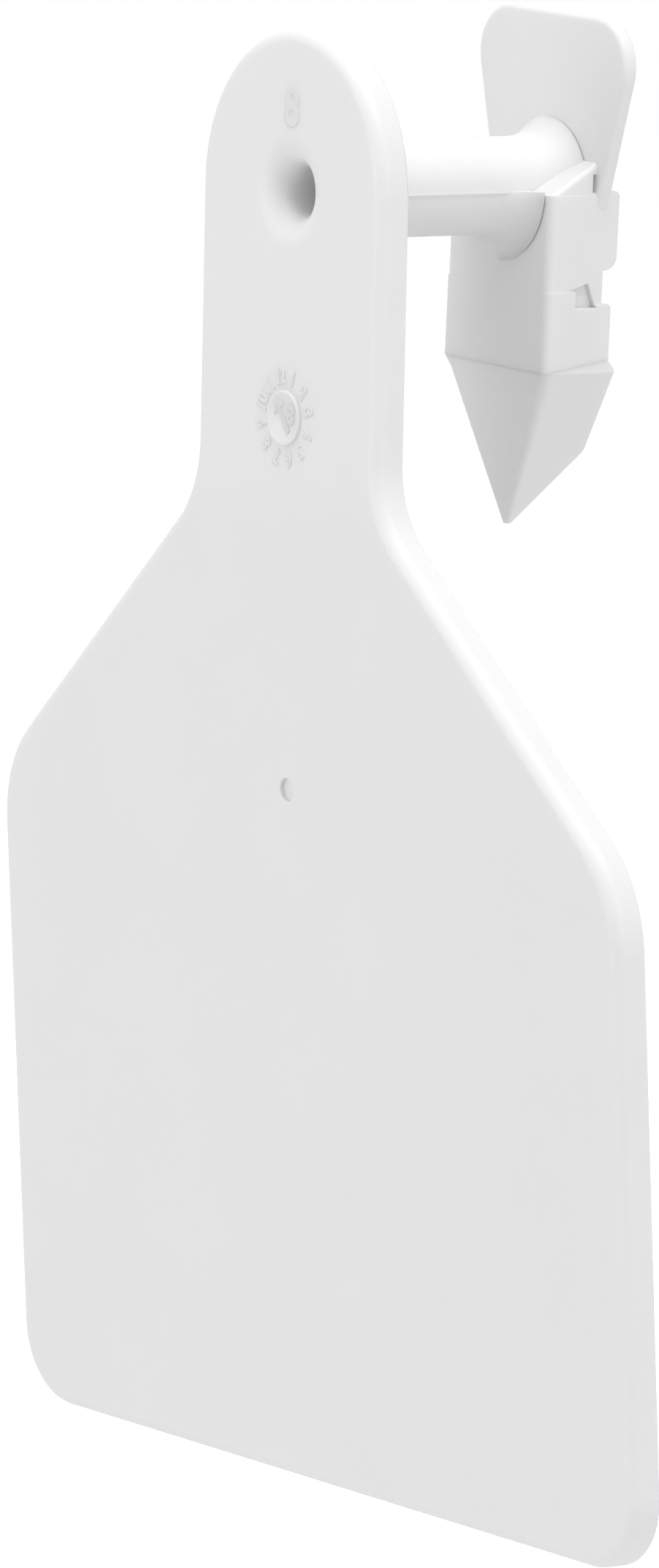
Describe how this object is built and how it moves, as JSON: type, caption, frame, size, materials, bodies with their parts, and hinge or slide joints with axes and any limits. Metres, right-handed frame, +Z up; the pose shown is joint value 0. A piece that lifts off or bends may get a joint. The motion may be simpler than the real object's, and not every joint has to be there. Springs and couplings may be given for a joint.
{
  "type": "livestock ear tag",
  "caption": "Flat flexible panel on a rounded neck, with a hollow stem behind it that carries a cross-set winged toggle and a hard arrow-shaped piercing tip.",
  "frame": {"origin": "on the stem's axis, in the plane of the neck's back face, where the animal's ear bears", "axes": "+X across the panel, +Y back along the stem from neck to toggle, +Z up from the panel to the neck's rounded crown"},
  "size_m": [0.076, 0.0242, 0.1042],
  "materials": {
    "soft_polyurethane": "satin",
    "hard_tip_plastic": "semi-gloss"
  },
  "bodies": {
    "root": {"tag_body": "soft_polyurethane", "piercing_tip": "hard_tip_plastic"}
  },
  "joints": []
}
